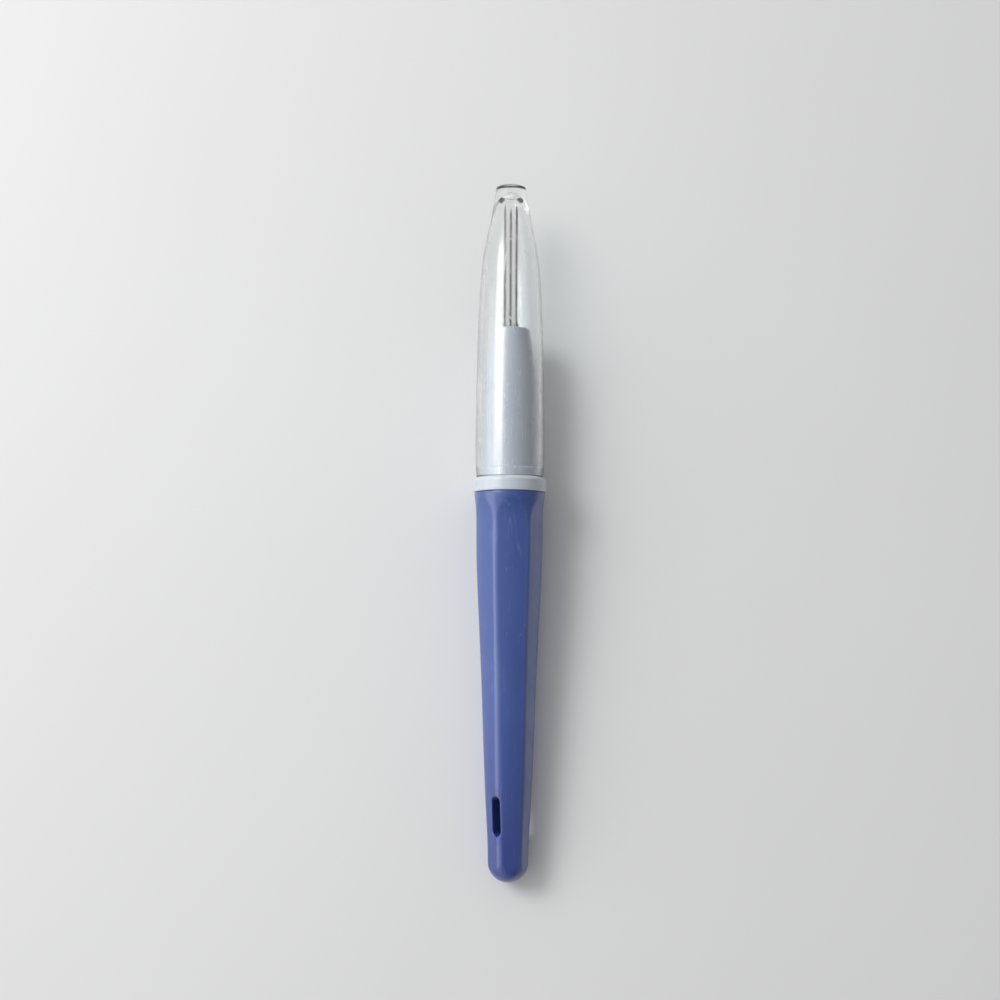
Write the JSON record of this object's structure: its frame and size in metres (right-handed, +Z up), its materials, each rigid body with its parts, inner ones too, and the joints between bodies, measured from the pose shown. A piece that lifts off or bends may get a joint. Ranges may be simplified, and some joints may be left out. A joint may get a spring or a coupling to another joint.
{
  "type": "felting needle tool",
  "caption": "Pen-style felting tool: faceted handle, collar ring, screw-in nose that holds steel felting needles, and a clear pull-off cap.",
  "frame": {"origin": "centre of the bottom of the part's box, on the table that the tool lies on", "axes": "+Z up, +Y from the handle's end towards the cap's tip, +X to the right; the tool's own axis leans up by 2.8 degrees towards +Y, because the tool rests on its collar ring and on the end of its handle"},
  "size_m": [0.0178, 0.169, 0.0188],
  "materials": {
    "handle_plastic": "satin moulded blue plastic",
    "collar_plastic": "glossy off-white moulded plastic",
    "nose_plastic": "satin pale blue-grey moulded plastic",
    "core_plastic": "plain moulded plastic, hidden inside",
    "needle_steel": "plated carbon steel wire, drawn and ground",
    "clear_cap": "clear moulded polystyrene with a solid tip"
  },
  "bodies": {
    "handle": {"handle": "handle_plastic"},
    "collar": {"collar_ring": "collar_plastic"},
    "holder": {"nose_shell": "nose_plastic", "needle_core": "core_plastic", "needle_1": "needle_steel", "needle_2": "needle_steel", "needle_3": "needle_steel"},
    "cap": {"cap": "clear_cap"}
  },
  "joints": [
    {"name": "collar_lift", "type": "slide", "parent": "handle", "child": "collar", "axis": [0, 0.9988, 0.0486], "range_m": [0, 0.008]},
    {"name": "holder_turn", "type": "hinge", "parent": "collar", "child": "holder", "pos_m": [0, 0.00829, 0.00887], "axis": [0, 0.9988, 0.0486], "range_deg": [0, 1440]},
    {"name": "cap_slide", "type": "slide", "parent": "holder", "child": "cap", "axis": [0, 0.9988, 0.0486], "range_m": [0, 0.075]}
  ],
  "couplings": [
    {"joint": "holder_turn", "follows": "collar_lift", "rad_per_m": 3141.6}
  ]
}
